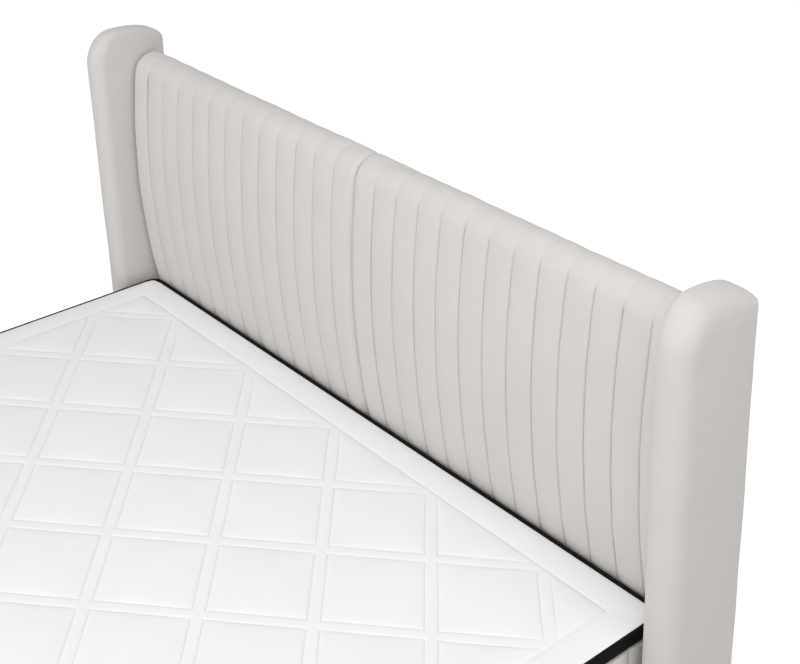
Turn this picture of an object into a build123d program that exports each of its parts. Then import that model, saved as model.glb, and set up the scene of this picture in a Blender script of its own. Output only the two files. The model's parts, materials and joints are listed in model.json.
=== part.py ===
import os
from math import ceil, sqrt

from build123d import *

# Box spring bed: two upholstered boxes side by side, a mattress, a thin topper and a winged headboard.
# Origin on the floor at the middle of the bed's outline, head end towards +Y, up is +Z, millimetres.

# Driving sizes of the whole bed
bed_width = 1800
bed_length = 2000
foot_height = 100
base_height = 250
mattress_height = 232
topper_height = 32
layer_gap = 0.3
overrun = 60

# Headboard
wing_rise = 680
wing_depth = 194
wing_reach = 103
wing_thickness = 80
wing_clearance = 12
wing_front_radius = 80
wing_back_radius = 60
wing_edge_radius = 22
headboard_lift = 20
cushion_rise = 617
cushion_drop = 110
cushion_overhang = 28
cushion_apex_height = 315
cushion_front_radius = 1700
cushion_roll_radius = 52
cushion_foot_radius = 18
cushion_end_radius = 24
cushion_end_gap = 6
channels_per_cushion = 13
channel_groove = 9
cover_wall = 5
wing_cover_wall = 4

# Headboard frame and boards
back_cover_thickness = 3
frame_timber_depth = 24
frame_timber_width = 60
board_thickness = 8
board_inset = 12
frame_top_drop = 30
lower_panel_bottom = 60
lower_cover_wall = 3
bolt_rail_height = 80
wing_board_thickness = 18
wing_board_inset = 24
wing_bolt_count = 3
wing_glide_radius = 8

# Boxes
side_channel_pitch = 70
side_channel_depth = 8
side_wall = 20
plain_wall = 4
deck_cloth = 2
dust_cloth = 2
plan_corner_radius = 30
edge_radius = 14
rounding_margin = 1
rail_thickness = 22
rail_height = 200
slat_width = 60
slat_thickness = 18
slat_recess = 8
slat_level = 60
slat_pitch = 150
spring_board_thickness = 4
pocket_diameter = 66
pocket_gap = 1
pocket_overlap_share = 0.96
block_size = 60

# Feet and hardware
foot_top_radius = 30
foot_bottom_radius = 22
foot_plate_size = 80
foot_plate_thickness = 3
foot_plate_corner = 8
stud_radius = 5
stud_length = 40
glide_thickness = 5
foot_screw_radius = 2.5
foot_screw_length = 25
foot_screw_head_radius = 4.5
foot_screw_head = 2
foot_screw_spacing = 52
clamp_width = 44
clamp_length = 120
clamp_thickness = 3
clamp_bolt_spacing = 80
clamp_shares = (0.25, 0.75)
bolt_radius = 4
bolt_head_radius = 7
bolt_head = 5
bolt_clearance = 0.2
bolt_level = 130
bolt_spacing = 420
counterbore_radius = 12
counterbore_depth = 8
nut_radius = 5.5
nut_flange_radius = 11
nut_flange = 1.5
clamp_bolt_length = 30

# Mattress
panel_thickness = 4
mattress_foam = 30
edge_foam_width = 60

# Topper
band_bulge = 8
band_wall = 20
band_round = 10.5
top_panel_thickness = 6
top_panel_round = 5
bottom_panel_thickness = 4
bottom_panel_inset = 6
quilt_border = 70
quilt_cells_across = 5
quilt_cells_along = 6.65
quilt_cell_share = 0.8815
quilt_crown = 5
quilt_slope = 60
quilt_edge_gap = 6

# Places that follow from the sizes above
total_length = bed_length + wing_depth - wing_reach
y_foot = -total_length / 2
y_back = total_length / 2
y_head = y_foot + bed_length
z_base = foot_height
z_mattress = z_base + base_height + layer_gap
z_topper = z_mattress + mattress_height + layer_gap
z_top = z_topper + topper_height
bed_half = bed_width / 2
wing_inner = bed_half + wing_clearance
wing_outer = wing_inner + wing_thickness
y_wing_front = y_back - wing_depth
z_wing_top = z_top + wing_rise
y_frame_back = y_back - back_cover_thickness
y_frame_front = y_frame_back - frame_timber_depth
y_cushion_back = y_frame_front - board_thickness
z_cushion_low = z_top - cushion_drop
z_cushion_high = z_top + cushion_rise
z_frame_top = z_cushion_high - frame_top_drop
channel_pitch = (wing_inner - cushion_end_gap) / channels_per_cushion
z_bolt = z_base + bolt_level
bolt_places = [(x, z_bolt) for x in (bed_half / 2 - bolt_spacing / 2, bed_half / 2 + bolt_spacing / 2)]
both_bolt_places = bolt_places + [(-x, z) for x, z in bolt_places]

os.makedirs("parts", exist_ok=True)


def save(piece, name):
    """Label a finished piece and write it."""
    piece.part.label = name
    export_step(piece.part, f"parts/{name}.step")


def save_pair(piece, name):
    """Write a right-hand piece and its mirror image on the left."""
    save(piece, f"right_{name}")
    with BuildPart() as twin:
        mirror(piece.part, about=Plane.YZ)
    save(twin, f"left_{name}")


def block(x, y, z):
    """A plain block between the two values given on each axis."""
    with BuildPart(mode=Mode.PRIVATE) as solid:
        with BuildSketch(Plane.XY.offset(z[0])):
            with Locations(((x[0] + x[1]) / 2, (y[0] + y[1]) / 2)):
                Rectangle(x[1] - x[0], y[1] - y[0])
        extrude(amount=z[1] - z[0])
    return solid.part


def rounded_block(x, y, z, corner, edge):
    """A block whose upright corners and whose top and bottom edges are rounded."""
    with BuildPart(mode=Mode.PRIVATE) as solid:
        add(block(x, y, z))
        fillet(solid.edges().filter_by(Axis.Z), corner)
        fillet(solid.faces().sort_by(Axis.Z)[-1].edges(), edge)
        fillet(solid.faces().sort_by(Axis.Z)[0].edges(), edge)
    return solid.part


def rods(plane, places, radius, length):
    """Round rods from a plane, one at each place on it."""
    with BuildPart(mode=Mode.PRIVATE) as solid:
        with BuildSketch(plane):
            with Locations(*places):
                Circle(radius)
        extrude(amount=length)
    return solid.part


def channel_run(start, end):
    """Padded channels side by side from start to end, each an arc that bulges to the right of the run."""
    a, b = Vector(*start), Vector(*end)
    count = max(1, round((b - a).length / side_channel_pitch))
    step = (b - a) / count
    outward = Vector(step.Y, -step.X).normalized() * side_channel_depth
    for i in range(count):
        ThreePointArc(a + step * i, a + step * i + step / 2 + outward, a + step * (i + 1))


def pocket_rows(x, y, z):
    """Rows of pocketed springs that fill a block, each row a string of round pockets joined side by side."""
    rows = int((y[1] - y[0]) // pocket_diameter)
    row_pitch = (y[1] - y[0]) / rows
    radius = (row_pitch - pocket_gap) / 2
    span = x[1] - x[0] - 2 * radius
    pockets = 1 + ceil(span / (2 * radius * pocket_overlap_share))
    with BuildPart(mode=Mode.PRIVATE) as row:
        with BuildSketch(Plane.XY.offset(z[0])):
            with Locations(((x[0] + x[1]) / 2, y[0] + row_pitch / 2)):
                with GridLocations(span / (pockets - 1), 0, pockets, 1):
                    Circle(radius)
        extrude(amount=z[1] - z[0])
    return [row.part.moved(Location((0, row_pitch * i, 0))) for i in range(rows)]


# One box spring, the right-hand one, from the middle of the bed to its right side
box_x = (plain_wall, bed_half - side_wall)
box_y = (y_foot + side_wall, y_head - plain_wall)
z_rail = (z_base + dust_cloth, z_base + dust_cloth + rail_height)
z_deck = z_base + base_height
inside_x = (box_x[0] + rail_thickness, box_x[1] - rail_thickness)
inside_y = (box_y[0] + rail_thickness, box_y[1] - rail_thickness)
z_slat = (z_rail[0] + slat_level, z_rail[0] + slat_level + slat_thickness)
z_spring = (z_slat[1] + spring_board_thickness, z_rail[1])
slat_run = inside_y[1] - inside_y[0] - 2 * block_size - slat_width
slat_count = 1 + int(slat_run // slat_pitch)
slat_step = slat_run / (slat_count - 1)
slat_places = [inside_y[0] + block_size + slat_width / 2 + slat_step * i for i in range(slat_count)]
block_x = (inside_x[0] + block_size / 2, inside_x[1] - block_size / 2)
block_y = (inside_y[0] + block_size / 2, inside_y[1] - block_size / 2)
foot_places = [(x, y) for x in block_x for y in block_y]
clamp_places = [y_foot + bed_length * share for share in clamp_shares]
clamp_bolt_x = box_x[0] + rail_thickness / 2
clamp_bolt_places = [(clamp_bolt_x, y + s * clamp_bolt_spacing / 2) for y in clamp_places for s in (-1, 1)]


def bolt_holes(places, radius):
    """Round holes along Y for the headboard bolts, through everything near the head end."""
    return rods(Plane.XZ.offset(-y_back), places, radius, y_back - inside_y[1] + overrun)


def slats():
    """The slats of the right-hand box, let into both side rails."""
    ends = (inside_x[0] - slat_recess, inside_x[1] + slat_recess)
    return [block(ends, (y - slat_width / 2, y + slat_width / 2), z_slat) for y in slat_places]


with BuildPart() as inner_rail:
    add(block((box_x[0], inside_x[0]), box_y, z_rail))
    add(slats(), mode=Mode.SUBTRACT)
    add(rods(Plane.XY.offset(z_base), clamp_bolt_places, bolt_radius, clamp_bolt_length), mode=Mode.SUBTRACT)
save_pair(inner_rail, "box_inner_rail")

with BuildPart() as outer_rail:
    add(block((inside_x[1], box_x[1]), box_y, z_rail))
    add(slats(), mode=Mode.SUBTRACT)
save_pair(outer_rail, "box_outer_rail")

with BuildPart() as end_rails:
    add(block(inside_x, (box_y[0], inside_y[0]), z_rail))
    add(block(inside_x, (inside_y[1], box_y[1]), z_rail))
    add(bolt_holes(bolt_places, nut_radius), mode=Mode.SUBTRACT)
save_pair(end_rails, "box_end_rails")

with BuildPart() as box_slats:
    add(slats())
save_pair(box_slats, "box_slats")

with BuildPart() as spring_board:
    add(block(inside_x, inside_y, (z_slat[1], z_spring[0])))
save_pair(spring_board, "box_spring_board")

with BuildPart() as box_springs:
    nut_room = nut_flange + pocket_gap
    add(pocket_rows(inside_x, (inside_y[0], inside_y[1] - nut_room), z_spring))
save_pair(box_springs, "box_pocket_springs")

with BuildPart() as box_foam:
    add(block(box_x, box_y, (z_rail[1], z_deck - deck_cloth)))
save_pair(box_foam, "box_foam")

# Upholstered cover of a box: channels along its outer side and its foot end, plain where it meets its
# neighbour and the headboard, with the deck cloth on top
with BuildPart() as box_cover:
    with BuildSketch(Plane.XY.offset(z_base)):
        with BuildLine():
            corners = [
                (0, y_foot + side_channel_depth),
                (bed_half - side_channel_depth, y_foot + side_channel_depth),
                (bed_half - side_channel_depth, y_head),
                (0, y_head),
            ]
            channel_run(corners[0], corners[1])
            channel_run(corners[1], corners[2])
            Polyline(corners[2], corners[3], corners[0])
        make_face()
    extrude(amount=base_height)
    add(
        rounded_block(
            (-overrun, bed_half + rounding_margin),
            (y_foot - rounding_margin, y_head + overrun),
            (z_base, z_deck),
            plan_corner_radius,
            edge_radius,
        ),
        mode=Mode.INTERSECT,
    )
    add(block(box_x, box_y, (z_base, z_deck - deck_cloth)), mode=Mode.SUBTRACT)
    add(bolt_holes(bolt_places, bolt_radius + bolt_clearance), mode=Mode.SUBTRACT)
save_pair(box_cover, "box_cover")

screw_half = foot_screw_spacing / 2
screw_corners = [(i * screw_half, j * screw_half) for i in (-1, 1) for j in (-1, 1)]
screw_places = [(x + dx, y + dy) for x, y in foot_places for dx, dy in screw_corners]
screw_up = foot_screw_length + foot_plate_thickness

with BuildPart() as dust:
    add(block(box_x, box_y, (z_base, z_rail[0])))
    add(rods(Plane.XY.offset(z_base), foot_places, stud_radius, dust_cloth), mode=Mode.SUBTRACT)
    add(rods(Plane.XY.offset(z_base), screw_places, foot_screw_radius, dust_cloth), mode=Mode.SUBTRACT)
    add(rods(Plane.XY.offset(z_base), clamp_bolt_places, bolt_radius, dust_cloth), mode=Mode.SUBTRACT)
save_pair(dust, "box_dust_cloth")

# Corner blocks, foot plates, feet, glides and screws, in all four corners of both boxes
with BuildPart() as corner_blocks:
    with BuildSketch(Plane.XY.offset(z_rail[0])):
        with Locations(*foot_places):
            Rectangle(block_size, block_size)
    extrude(amount=slat_level)
    add(rods(Plane.XY.offset(z_rail[0]), foot_places, stud_radius, stud_length), mode=Mode.SUBTRACT)
    add(
        rods(Plane.XY.offset(z_rail[0]), screw_places, foot_screw_radius, foot_screw_length),
        mode=Mode.SUBTRACT,
    )
    mirror(about=Plane.YZ)
save(corner_blocks, "corner_blocks")

with BuildPart() as foot_plates:
    with BuildSketch(Plane.XY.offset(z_base - foot_plate_thickness)):
        with Locations(*foot_places):
            RectangleRounded(foot_plate_size, foot_plate_size, foot_plate_corner)
        with Locations(*foot_places):
            Circle(stud_radius, mode=Mode.SUBTRACT)
        with Locations(*screw_places):
            Circle(foot_screw_radius, mode=Mode.SUBTRACT)
    extrude(amount=foot_plate_thickness)
    mirror(about=Plane.YZ)
save(foot_plates, "foot_plates")

with BuildPart() as foot_screws:
    add(rods(Plane.XY.offset(z_base - foot_plate_thickness), screw_places, foot_screw_radius, screw_up))
    add(
        rods(
            Plane.XY.offset(z_base - foot_plate_thickness - foot_screw_head),
            screw_places,
            foot_screw_head_radius,
            foot_screw_head,
        )
    )
    mirror(about=Plane.YZ)
save(foot_screws, "foot_screws")

foot_length = z_base - foot_plate_thickness - glide_thickness
with BuildPart() as box_feet:
    for place in foot_places:
        with Locations((place[0], place[1], glide_thickness)):
            Cone(
                foot_bottom_radius,
                foot_top_radius,
                foot_length,
                align=(Align.CENTER, Align.CENTER, Align.MIN),
            )
    add(
        rods(
            Plane.XY.offset(z_base - foot_plate_thickness),
            foot_places,
            stud_radius,
            foot_plate_thickness + dust_cloth + stud_length,
        )
    )
    mirror(about=Plane.YZ)
save(box_feet, "box_feet")

with BuildPart() as foot_glides:
    add(rods(Plane.XY, foot_places, foot_bottom_radius, glide_thickness))
    mirror(about=Plane.YZ)
save(foot_glides, "foot_glides")

# Two steel plates under the inner rails hold the boxes together
with BuildPart() as box_clamps:
    with BuildSketch(Plane.XY.offset(z_base - clamp_thickness)):
        with Locations(*[(0, y) for y in clamp_places]):
            Rectangle(clamp_width, clamp_length)
        with Locations(*clamp_bolt_places, *[(-x, y) for x, y in clamp_bolt_places]):
            Circle(bolt_radius, mode=Mode.SUBTRACT)
    extrude(amount=clamp_thickness)
save(box_clamps, "box_clamps")

with BuildPart() as clamp_bolts:
    z_clamp = z_base - clamp_thickness
    add(rods(Plane.XY.offset(z_clamp), clamp_bolt_places, bolt_radius, clamp_thickness + clamp_bolt_length))
    add(rods(Plane.XY.offset(z_clamp - bolt_head), clamp_bolt_places, bolt_head_radius, bolt_head))
    mirror(about=Plane.YZ)
save(clamp_bolts, "clamp_bolts")

# Headboard frame
post_x = (wing_inner - frame_timber_width, wing_inner)
centre_x = (-frame_timber_width / 2, frame_timber_width / 2)
frame_y = (y_frame_front, y_frame_back)
z_top_rail = z_frame_top - frame_timber_width
wing_bolt_step = (z_top_rail - z_top) / wing_bolt_count
wing_bolt_places = [
    ((y_frame_front + y_frame_back) / 2, z_top + wing_bolt_step * i) for i in range(wing_bolt_count)
]
wing_board_x = (
    (wing_inner + wing_outer) / 2 - wing_board_thickness / 2,
    (wing_inner + wing_outer) / 2 + wing_board_thickness / 2,
)
wing_bolt_reach = wing_board_x[1] - wing_inner

with BuildPart() as posts:
    add(block(post_x, frame_y, (headboard_lift, z_top_rail)))
    add(
        rods(Plane.YZ.offset(post_x[0]), wing_bolt_places, bolt_radius, frame_timber_width),
        mode=Mode.SUBTRACT,
    )
    mirror(about=Plane.YZ)
    add(block(centre_x, frame_y, (headboard_lift, z_top_rail)))
save(posts, "headboard_posts")

with BuildPart() as top_rail:
    add(block((-wing_inner, wing_inner), frame_y, (z_top_rail, z_frame_top)))
save(top_rail, "headboard_top_rail")

with BuildPart() as cross_rails:
    for middle in (z_bolt, z_cushion_low):
        rail_z = (middle - bolt_rail_height / 2, middle + bolt_rail_height / 2)
        add(block((centre_x[1], post_x[0]), frame_y, rail_z))
    add(bolt_holes(bolt_places, bolt_radius + bolt_clearance), mode=Mode.SUBTRACT)
    add(
        rods(Plane.XZ.offset(-y_frame_back), bolt_places, counterbore_radius, counterbore_depth),
        mode=Mode.SUBTRACT,
    )
    mirror(about=Plane.YZ)
save(cross_rails, "headboard_cross_rails")

with BuildPart() as lower_board:
    add(
        block(
            (-wing_inner + board_inset, wing_inner - board_inset),
            (y_cushion_back, y_frame_front),
            (lower_panel_bottom, z_cushion_low),
        )
    )
    add(bolt_holes(both_bolt_places, bolt_radius + bolt_clearance), mode=Mode.SUBTRACT)
save(lower_board, "headboard_lower_board")

lower_y = (y_head + layer_gap, y_cushion_back)
lower_z = (lower_panel_bottom, z_cushion_low - layer_gap)
with BuildPart() as lower_foam:
    add(
        block(
            (-wing_inner + lower_cover_wall, wing_inner - lower_cover_wall),
            (lower_y[0] + lower_cover_wall, lower_y[1]),
            (lower_z[0] + lower_cover_wall, lower_z[1] - lower_cover_wall),
        )
    )
    add(bolt_holes(both_bolt_places, bolt_radius + bolt_clearance), mode=Mode.SUBTRACT)
save(lower_foam, "headboard_lower_foam")

with BuildPart() as lower_cover:
    add(block((-wing_inner, wing_inner), lower_y, lower_z))
    add(lower_foam.part, mode=Mode.SUBTRACT)
    add(bolt_holes(both_bolt_places, bolt_radius + bolt_clearance), mode=Mode.SUBTRACT)
save(lower_cover, "headboard_lower_cover")

with BuildPart() as back_cover:
    add(block((-wing_inner, wing_inner), (y_frame_back, y_back), (lower_panel_bottom, z_frame_top)))
    add(
        rods(Plane.XZ.offset(-y_back), both_bolt_places, counterbore_radius, back_cover_thickness),
        mode=Mode.SUBTRACT,
    )
save(back_cover, "headboard_back_cover")

y_bolt_seat = y_frame_back - counterbore_depth
y_nut_end = inside_y[1] - nut_flange
with BuildPart() as headboard_bolts:
    add(rods(Plane.XZ.offset(-y_bolt_seat), both_bolt_places, bolt_radius, y_bolt_seat - y_nut_end))
    add(rods(Plane.XZ.offset(-y_bolt_seat - bolt_head), both_bolt_places, bolt_head_radius, bolt_head))
save(headboard_bolts, "headboard_bolts")

with BuildPart() as headboard_nuts:
    add(rods(Plane.XZ.offset(-box_y[1]), both_bolt_places, nut_radius, box_y[1] - inside_y[1]))
    add(rods(Plane.XZ.offset(-inside_y[1]), both_bolt_places, nut_flange_radius, nut_flange))
    add(
        rods(Plane.XZ.offset(-box_y[1]), both_bolt_places, bolt_radius, box_y[1] - y_nut_end),
        mode=Mode.SUBTRACT,
    )
save(headboard_nuts, "headboard_nuts")


# Headboard cushions: a section drawn in the YZ plane, bulging over the bed and rolled back at the top
def cushion_section(x, inset):
    """The side profile of a cushion on the plane at x, drawn in all round by inset apart from its back."""
    radius = cushion_front_radius - inset
    apex_y = y_head - cushion_overhang + inset
    apex_z = z_top + cushion_apex_height
    low, high = z_cushion_low + inset, z_cushion_high - inset
    front = [(apex_y + radius - sqrt(radius**2 - (z - apex_z) ** 2), z) for z in (low, high)]
    with BuildSketch(Plane.YZ.offset(x), mode=Mode.PRIVATE) as section:
        with BuildLine():
            ThreePointArc(front[0], (apex_y, apex_z), front[1])
            Polyline(front[1], (y_cushion_back, high), (y_cushion_back, low), front[0])
        make_face()
        fillet(section.vertices().sort_by(lambda v: v.Y - v.X)[-1], cushion_roll_radius - inset)
        fillet(section.vertices().sort_by(lambda v: v.Y + v.X)[0], cushion_foot_radius - inset)
    return section.sketch


def cushion_form(x, inset, end_radius):
    """A cushion from one x to the other, with its two end contours rounded."""
    with BuildPart(mode=Mode.PRIVATE) as form:
        extrude(cushion_section(x[0], inset), amount=x[1] - x[0], dir=(1, 0, 0))
        if end_radius:
            ends = form.edges().group_by(Axis.X)
            contour = [e for e in ends[0] + ends[-1] if e.center().Y < y_cushion_back - inset / 2 - layer_gap]
            fillet(contour, end_radius)
    return form.part


cushion_x = (0, channel_pitch * channels_per_cushion)
foam_inset = channel_groove + cover_wall
foam_x = (cushion_x[0] + foam_inset, cushion_x[1] - foam_inset)
with BuildPart() as cushion_foam:
    add(cushion_form(foam_x, foam_inset, 0))
save_pair(cushion_foam, "cushion_foam")

channel = cushion_form((0, channel_pitch), 0, channel_groove)
with BuildPart() as cushion_cover:
    add([channel.moved(Location((channel_pitch * i, 0, 0))) for i in range(channels_per_cushion)])
    add(cushion_form(cushion_x, 0, cushion_end_radius), mode=Mode.INTERSECT)
    add(cushion_foam.part, mode=Mode.SUBTRACT)
save_pair(cushion_cover, "cushion_cover")

with BuildPart() as cushion_board:
    add(
        block(
            (cushion_x[0] + board_inset, cushion_x[1] - board_inset),
            (y_cushion_back, y_frame_front),
            (z_cushion_low + layer_gap, z_frame_top),
        )
    )
save_pair(cushion_board, "cushion_board")


# Wings: a board between two pads of foam in one cover, open on the underside
def wing_form(inset):
    """A wing drawn in all round by inset, apart from its underside."""
    with BuildPart(mode=Mode.PRIVATE) as form:
        with BuildSketch(Plane.YZ.offset(wing_inner + inset)) as side:
            with BuildLine():
                Polyline(
                    (y_wing_front + inset, headboard_lift),
                    (y_back - inset, headboard_lift),
                    (y_back - inset, z_wing_top - inset),
                    (y_wing_front + inset, z_wing_top - inset),
                    close=True,
                )
            make_face()
            fillet(side.vertices().sort_by(lambda v: v.Y - v.X)[-1], wing_front_radius - inset)
            fillet(side.vertices().sort_by(lambda v: v.Y + v.X)[-1], wing_back_radius - inset)
        extrude(amount=wing_thickness - 2 * inset)
        ends = form.edges().group_by(Axis.X)
        contour = [e for e in ends[0] + ends[-1] if e.center().Z > headboard_lift]
        fillet(contour, wing_edge_radius - inset)
    return form.part


with BuildPart() as wing_board:
    add(
        block(
            wing_board_x,
            (y_wing_front + wing_board_inset, y_back - wing_board_inset),
            (headboard_lift, z_wing_top - wing_board_inset),
        )
    )
    board_tops = [e for e in wing_board.edges().filter_by(Axis.X) if e.center().Z > z_top]
    fillet(board_tops, wing_back_radius - wing_board_inset)
    add(
        rods(Plane.YZ.offset(wing_board_x[0]), wing_bolt_places, bolt_radius, wing_board_thickness),
        mode=Mode.SUBTRACT,
    )
save_pair(wing_board, "wing_board")

with BuildPart() as wing_foam:
    add(wing_form(wing_cover_wall))
    add(wing_board.part, mode=Mode.SUBTRACT)
    add(rods(Plane.YZ.offset(wing_inner), wing_bolt_places, bolt_radius, wing_bolt_reach), mode=Mode.SUBTRACT)
save_pair(wing_foam, "wing_foam")

with BuildPart() as wing_cover:
    add(wing_form(0))
    add(wing_form(wing_cover_wall), mode=Mode.SUBTRACT)
    add(rods(Plane.YZ.offset(wing_inner), wing_bolt_places, bolt_radius, wing_bolt_reach), mode=Mode.SUBTRACT)
save_pair(wing_cover, "wing_cover")

with BuildPart() as wing_bolts:
    add(rods(Plane.YZ.offset(post_x[0]), wing_bolt_places, bolt_radius, wing_board_x[1] - post_x[0]))
    add(rods(Plane.YZ.offset(post_x[0] - bolt_head), wing_bolt_places, bolt_head_radius, bolt_head))
    mirror(about=Plane.YZ)
save(wing_bolts, "wing_bolts")

with BuildPart() as headboard_glides:
    wing_middle = (wing_board_x[0] + wing_board_x[1]) / 2
    glide_inset = wing_board_inset + wing_glide_radius
    y_glides = (y_wing_front + glide_inset, y_back - glide_inset)
    y_post = (y_frame_front + y_frame_back) / 2
    post_middle = (post_x[0] + post_x[1]) / 2
    places = [(wing_middle, y) for y in y_glides] + [(post_middle, y_post)]
    add(rods(Plane.XY, places, wing_glide_radius, headboard_lift))
    mirror(about=Plane.YZ)
    add(rods(Plane.XY, [(0, y_post)], wing_glide_radius, headboard_lift))
save(headboard_glides, "headboard_glides")

# Mattress: channelled border, two panels, foam all round a block of pocket springs
mattress_x = (-bed_half + side_wall, bed_half - side_wall)
mattress_y = (y_foot + side_wall, y_head - side_wall)
z_mattress_top = z_mattress + mattress_height
z_core = (z_mattress + panel_thickness, z_mattress_top - panel_thickness)
z_mattress_springs = (z_core[0] + mattress_foam, z_core[1] - mattress_foam)
core_x = (mattress_x[0] + edge_foam_width, mattress_x[1] - edge_foam_width)
core_y = (mattress_y[0] + edge_foam_width, mattress_y[1] - edge_foam_width)

with BuildPart() as mattress_border:
    with BuildSketch(Plane.XY.offset(z_mattress)):
        with BuildLine():
            x_valley = bed_half - side_channel_depth
            y_valley = (y_foot + side_channel_depth, y_head - side_channel_depth)
            corners = [
                (-x_valley, y_valley[0]),
                (x_valley, y_valley[0]),
                (x_valley, y_valley[1]),
                (-x_valley, y_valley[1]),
            ]
            for start, end in zip(corners, corners[1:] + corners[:1]):
                channel_run(start, end)
        make_face()
    extrude(amount=mattress_height)
    add(
        rounded_block(
            (-bed_half - rounding_margin, bed_half + rounding_margin),
            (y_foot - rounding_margin, y_head + rounding_margin),
            (z_mattress, z_mattress_top),
            plan_corner_radius,
            edge_radius,
        ),
        mode=Mode.INTERSECT,
    )
    add(block(mattress_x, mattress_y, (z_mattress, z_mattress_top)), mode=Mode.SUBTRACT)
save(mattress_border, "mattress_border")

with BuildPart() as mattress_bottom_panel:
    add(block(mattress_x, mattress_y, (z_mattress, z_core[0])))
save(mattress_bottom_panel, "mattress_bottom_panel")

with BuildPart() as mattress_top_panel:
    add(block(mattress_x, mattress_y, (z_core[1], z_mattress_top)))
save(mattress_top_panel, "mattress_top_panel")

with BuildPart() as mattress_bottom_foam:
    add(block(mattress_x, mattress_y, (z_core[0], z_mattress_springs[0])))
save(mattress_bottom_foam, "mattress_bottom_foam")

with BuildPart() as mattress_top_foam:
    add(block(mattress_x, mattress_y, (z_mattress_springs[1], z_core[1])))
save(mattress_top_foam, "mattress_top_foam")

with BuildPart() as mattress_edge_foam:
    add(block(mattress_x, mattress_y, z_mattress_springs))
    add(block(core_x, core_y, z_mattress_springs), mode=Mode.SUBTRACT)
save(mattress_edge_foam, "mattress_edge_foam")

with BuildPart() as mattress_springs:
    add(pocket_rows(core_x, core_y, z_mattress_springs))
save(mattress_springs, "mattress_pocket_springs")

# Topper: a thin core in a quilted top panel, a bulging side band and a bottom panel
panel_half = bed_half - band_bulge
panel_y = (y_foot + band_bulge, y_head - band_bulge)
band_x = (-bed_half + band_wall, bed_half - band_wall)
band_y = (y_foot + band_wall, y_head - band_wall)
z_band = (z_topper + bottom_panel_thickness, z_top - top_panel_thickness)

with BuildPart() as side_band:
    add(rounded_block((-bed_half, bed_half), (y_foot, y_head), z_band, plan_corner_radius, band_round))
    add(block(band_x, band_y, z_band), mode=Mode.SUBTRACT)
save(side_band, "topper_side_band")

with BuildPart() as topper_core:
    add(block(band_x, band_y, z_band))
save(topper_core, "topper_core")

with BuildPart() as topper_bottom:
    inset = band_bulge + bottom_panel_inset
    with BuildSketch(Plane.XY.offset(z_topper)):
        with Locations((0, (y_foot + y_head) / 2)):
            RectangleRounded(bed_width - 2 * inset, bed_length - 2 * inset, plan_corner_radius - inset)
    extrude(amount=bottom_panel_thickness)
save(topper_bottom, "topper_bottom_panel")

# Quilting: diamond cells that stand up between crossing ribbons, cut off at a plain border
quilt_x = (-panel_half + quilt_border, panel_half - quilt_border)
quilt_y = (panel_y[0] + quilt_border, panel_y[1] - quilt_border)
cell_width = (quilt_x[1] - quilt_x[0]) / quilt_cells_across
cell_length = (quilt_y[1] - quilt_y[0]) / quilt_cells_along
with BuildPart() as top_panel:
    with BuildSketch(Plane.XY.offset(z_top - top_panel_thickness)):
        with Locations((0, (panel_y[0] + panel_y[1]) / 2)):
            RectangleRounded(2 * panel_half, panel_y[1] - panel_y[0], plan_corner_radius - band_bulge)
    extrude(amount=top_panel_thickness)
    fillet(top_panel.faces().sort_by(Axis.Z)[-1].edges(), top_panel_round)
    with BuildSketch(Plane.XY.offset(z_top)):
        for i in range(2 * quilt_cells_across + 1):
            for j in range(int(2 * quilt_cells_along) + 1):
                if (i + j) % 2 == 0:
                    centre = (quilt_x[0] + cell_width * i / 2, quilt_y[1] - cell_length * j / 2)
                    half = (cell_width * quilt_cell_share / 2, cell_length * quilt_cell_share / 2)
                    with Locations(centre):
                        Polygon((half[0], 0), (0, half[1]), (-half[0], 0), (0, -half[1]), align=None)
        with Locations((0, (quilt_y[0] + quilt_y[1]) / 2)):
            Rectangle(
                quilt_x[1] - quilt_x[0] - 2 * quilt_edge_gap,
                quilt_y[1] - quilt_y[0] - 2 * quilt_edge_gap,
                mode=Mode.INTERSECT,
            )
    extrude(amount=quilt_crown, taper=quilt_slope)
save(top_panel, "topper_top_panel")
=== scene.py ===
import json
import math

import bmesh
import bpy
import numpy as np
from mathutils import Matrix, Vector, noise
from mathutils.geometry import delaunay_2d_cdt


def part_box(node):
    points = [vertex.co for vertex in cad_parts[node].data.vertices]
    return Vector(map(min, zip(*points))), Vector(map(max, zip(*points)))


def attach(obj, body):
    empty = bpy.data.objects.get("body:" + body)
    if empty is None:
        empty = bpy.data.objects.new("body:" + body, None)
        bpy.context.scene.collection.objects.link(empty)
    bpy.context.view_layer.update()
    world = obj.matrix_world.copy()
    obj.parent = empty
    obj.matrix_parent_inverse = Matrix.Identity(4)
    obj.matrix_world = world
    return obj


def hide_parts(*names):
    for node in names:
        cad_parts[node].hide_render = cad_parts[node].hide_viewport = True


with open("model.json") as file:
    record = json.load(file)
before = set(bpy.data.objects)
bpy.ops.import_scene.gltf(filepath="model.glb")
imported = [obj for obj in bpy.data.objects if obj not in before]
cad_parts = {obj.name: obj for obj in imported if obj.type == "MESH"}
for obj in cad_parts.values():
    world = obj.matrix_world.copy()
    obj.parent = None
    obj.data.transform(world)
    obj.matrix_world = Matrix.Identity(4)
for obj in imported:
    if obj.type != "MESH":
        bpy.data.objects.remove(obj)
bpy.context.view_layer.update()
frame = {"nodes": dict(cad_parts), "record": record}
scene = bpy.context.scene
scene.view_settings.view_transform = "Standard"

# Box spring bed in metres: +X right, +Y towards the headboard, +Z up, floor at zero.
# Each piece takes its place from the box of its CAD node, so it stays where its node is.
MM = 0.001

# Corners seen from above, and the rounded edges of the channelled sides
PLAN_CORNER = 30 * MM
TOPPER_CORNER = PLAN_CORNER - 8 * MM
UNDERSIDE_CORNER = PLAN_CORNER - 14 * MM
CLOTH_CORNER = 12 * MM
DUST_COVER_CORNER = 10 * MM
EDGE_ROUND = 14 * MM
MATTRESS_EDGE = 7 * MM

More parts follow.
